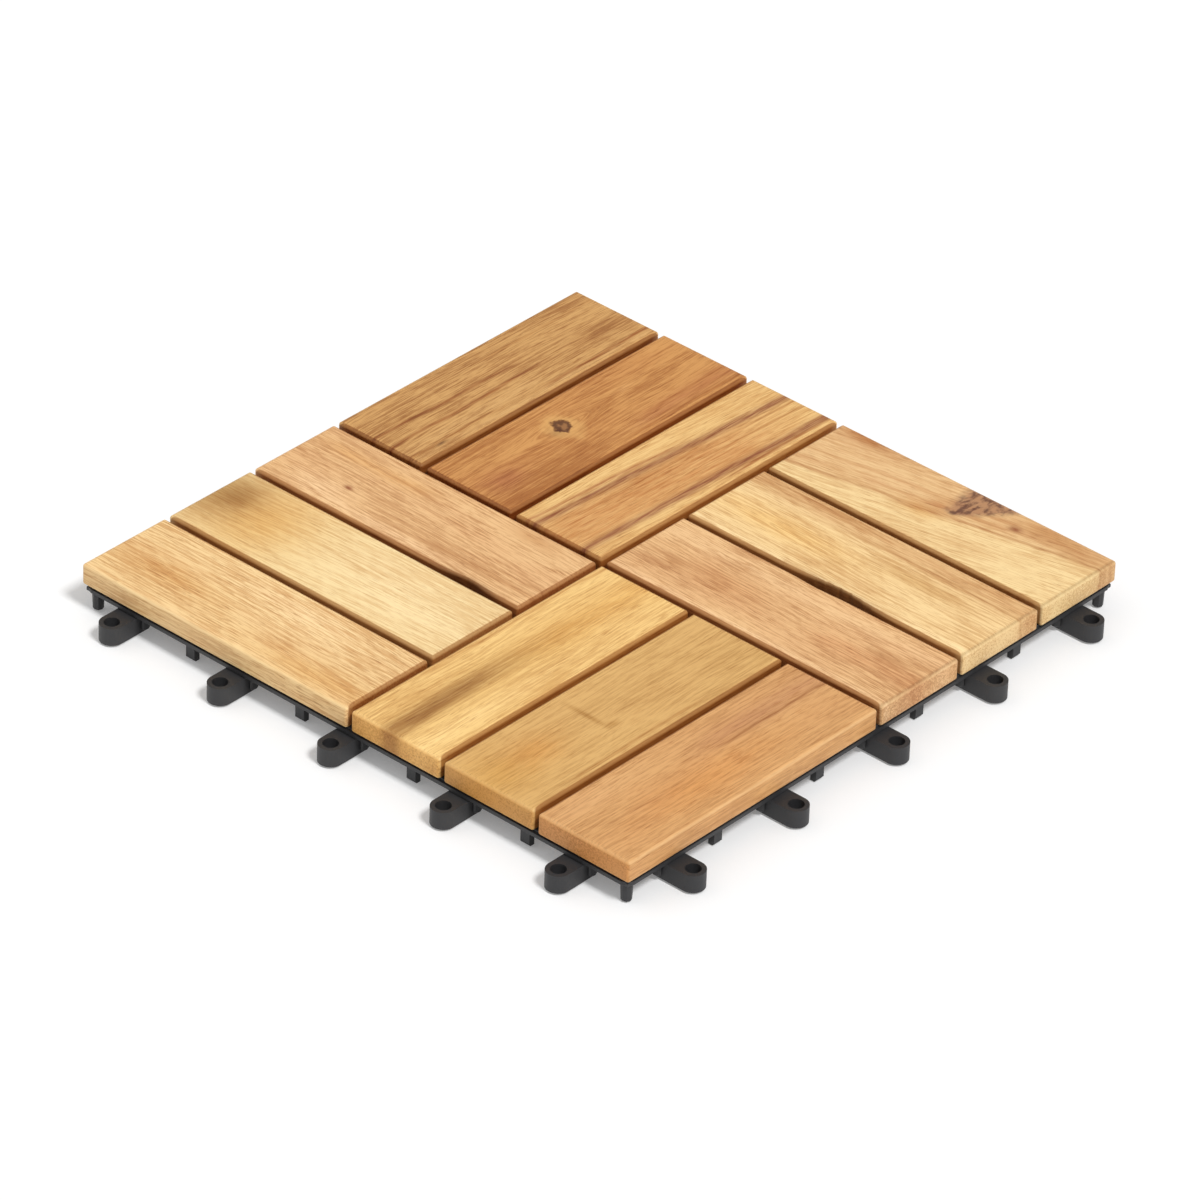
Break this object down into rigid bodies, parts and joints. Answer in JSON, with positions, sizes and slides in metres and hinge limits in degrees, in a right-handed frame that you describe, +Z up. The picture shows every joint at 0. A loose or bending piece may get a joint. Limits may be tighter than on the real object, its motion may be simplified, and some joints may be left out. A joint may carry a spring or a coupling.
{
  "type": "interlocking deck tile",
  "caption": "Square interlocking deck tile: hardwood slats in a basket weave on a moulded lattice base with loops and snap pins.",
  "frame": {"origin": "centre of the square deck on the plane of the feet", "axes": "+Z up out of the deck; loops on the -Y and +X edges, snap pins on the +Y and -X edges"},
  "size_m": [0.3134, 0.3134, 0.0225],
  "materials": {
    "acacia_tan": "oiled, fine sanded",
    "acacia_cream": "oiled, fine sanded",
    "acacia_gold": "oiled, fine sanded",
    "acacia_brown": "oiled, fine sanded",
    "acacia_olive": "oiled, fine sanded",
    "acacia_rose": "oiled, fine sanded",
    "charcoal_moulding": "matt as moulded",
    "plated_steel": "zinc plated"
  },
  "bodies": {
    "root": {"slat_left_1": "acacia_tan", "slat_left_2": "acacia_cream", "slat_left_3": "acacia_tan", "slat_back_1": "acacia_gold", "slat_back_2": "acacia_brown", "slat_back_3": "acacia_gold", "slat_front_1": "acacia_gold", "slat_front_2": "acacia_olive", "slat_front_3": "acacia_rose", "slat_right_1": "acacia_rose", "slat_right_2": "acacia_cream", "slat_right_3": "acacia_cream", "base_grid": "charcoal_moulding", "slat_screws": "plated_steel"}
  },
  "joints": []
}
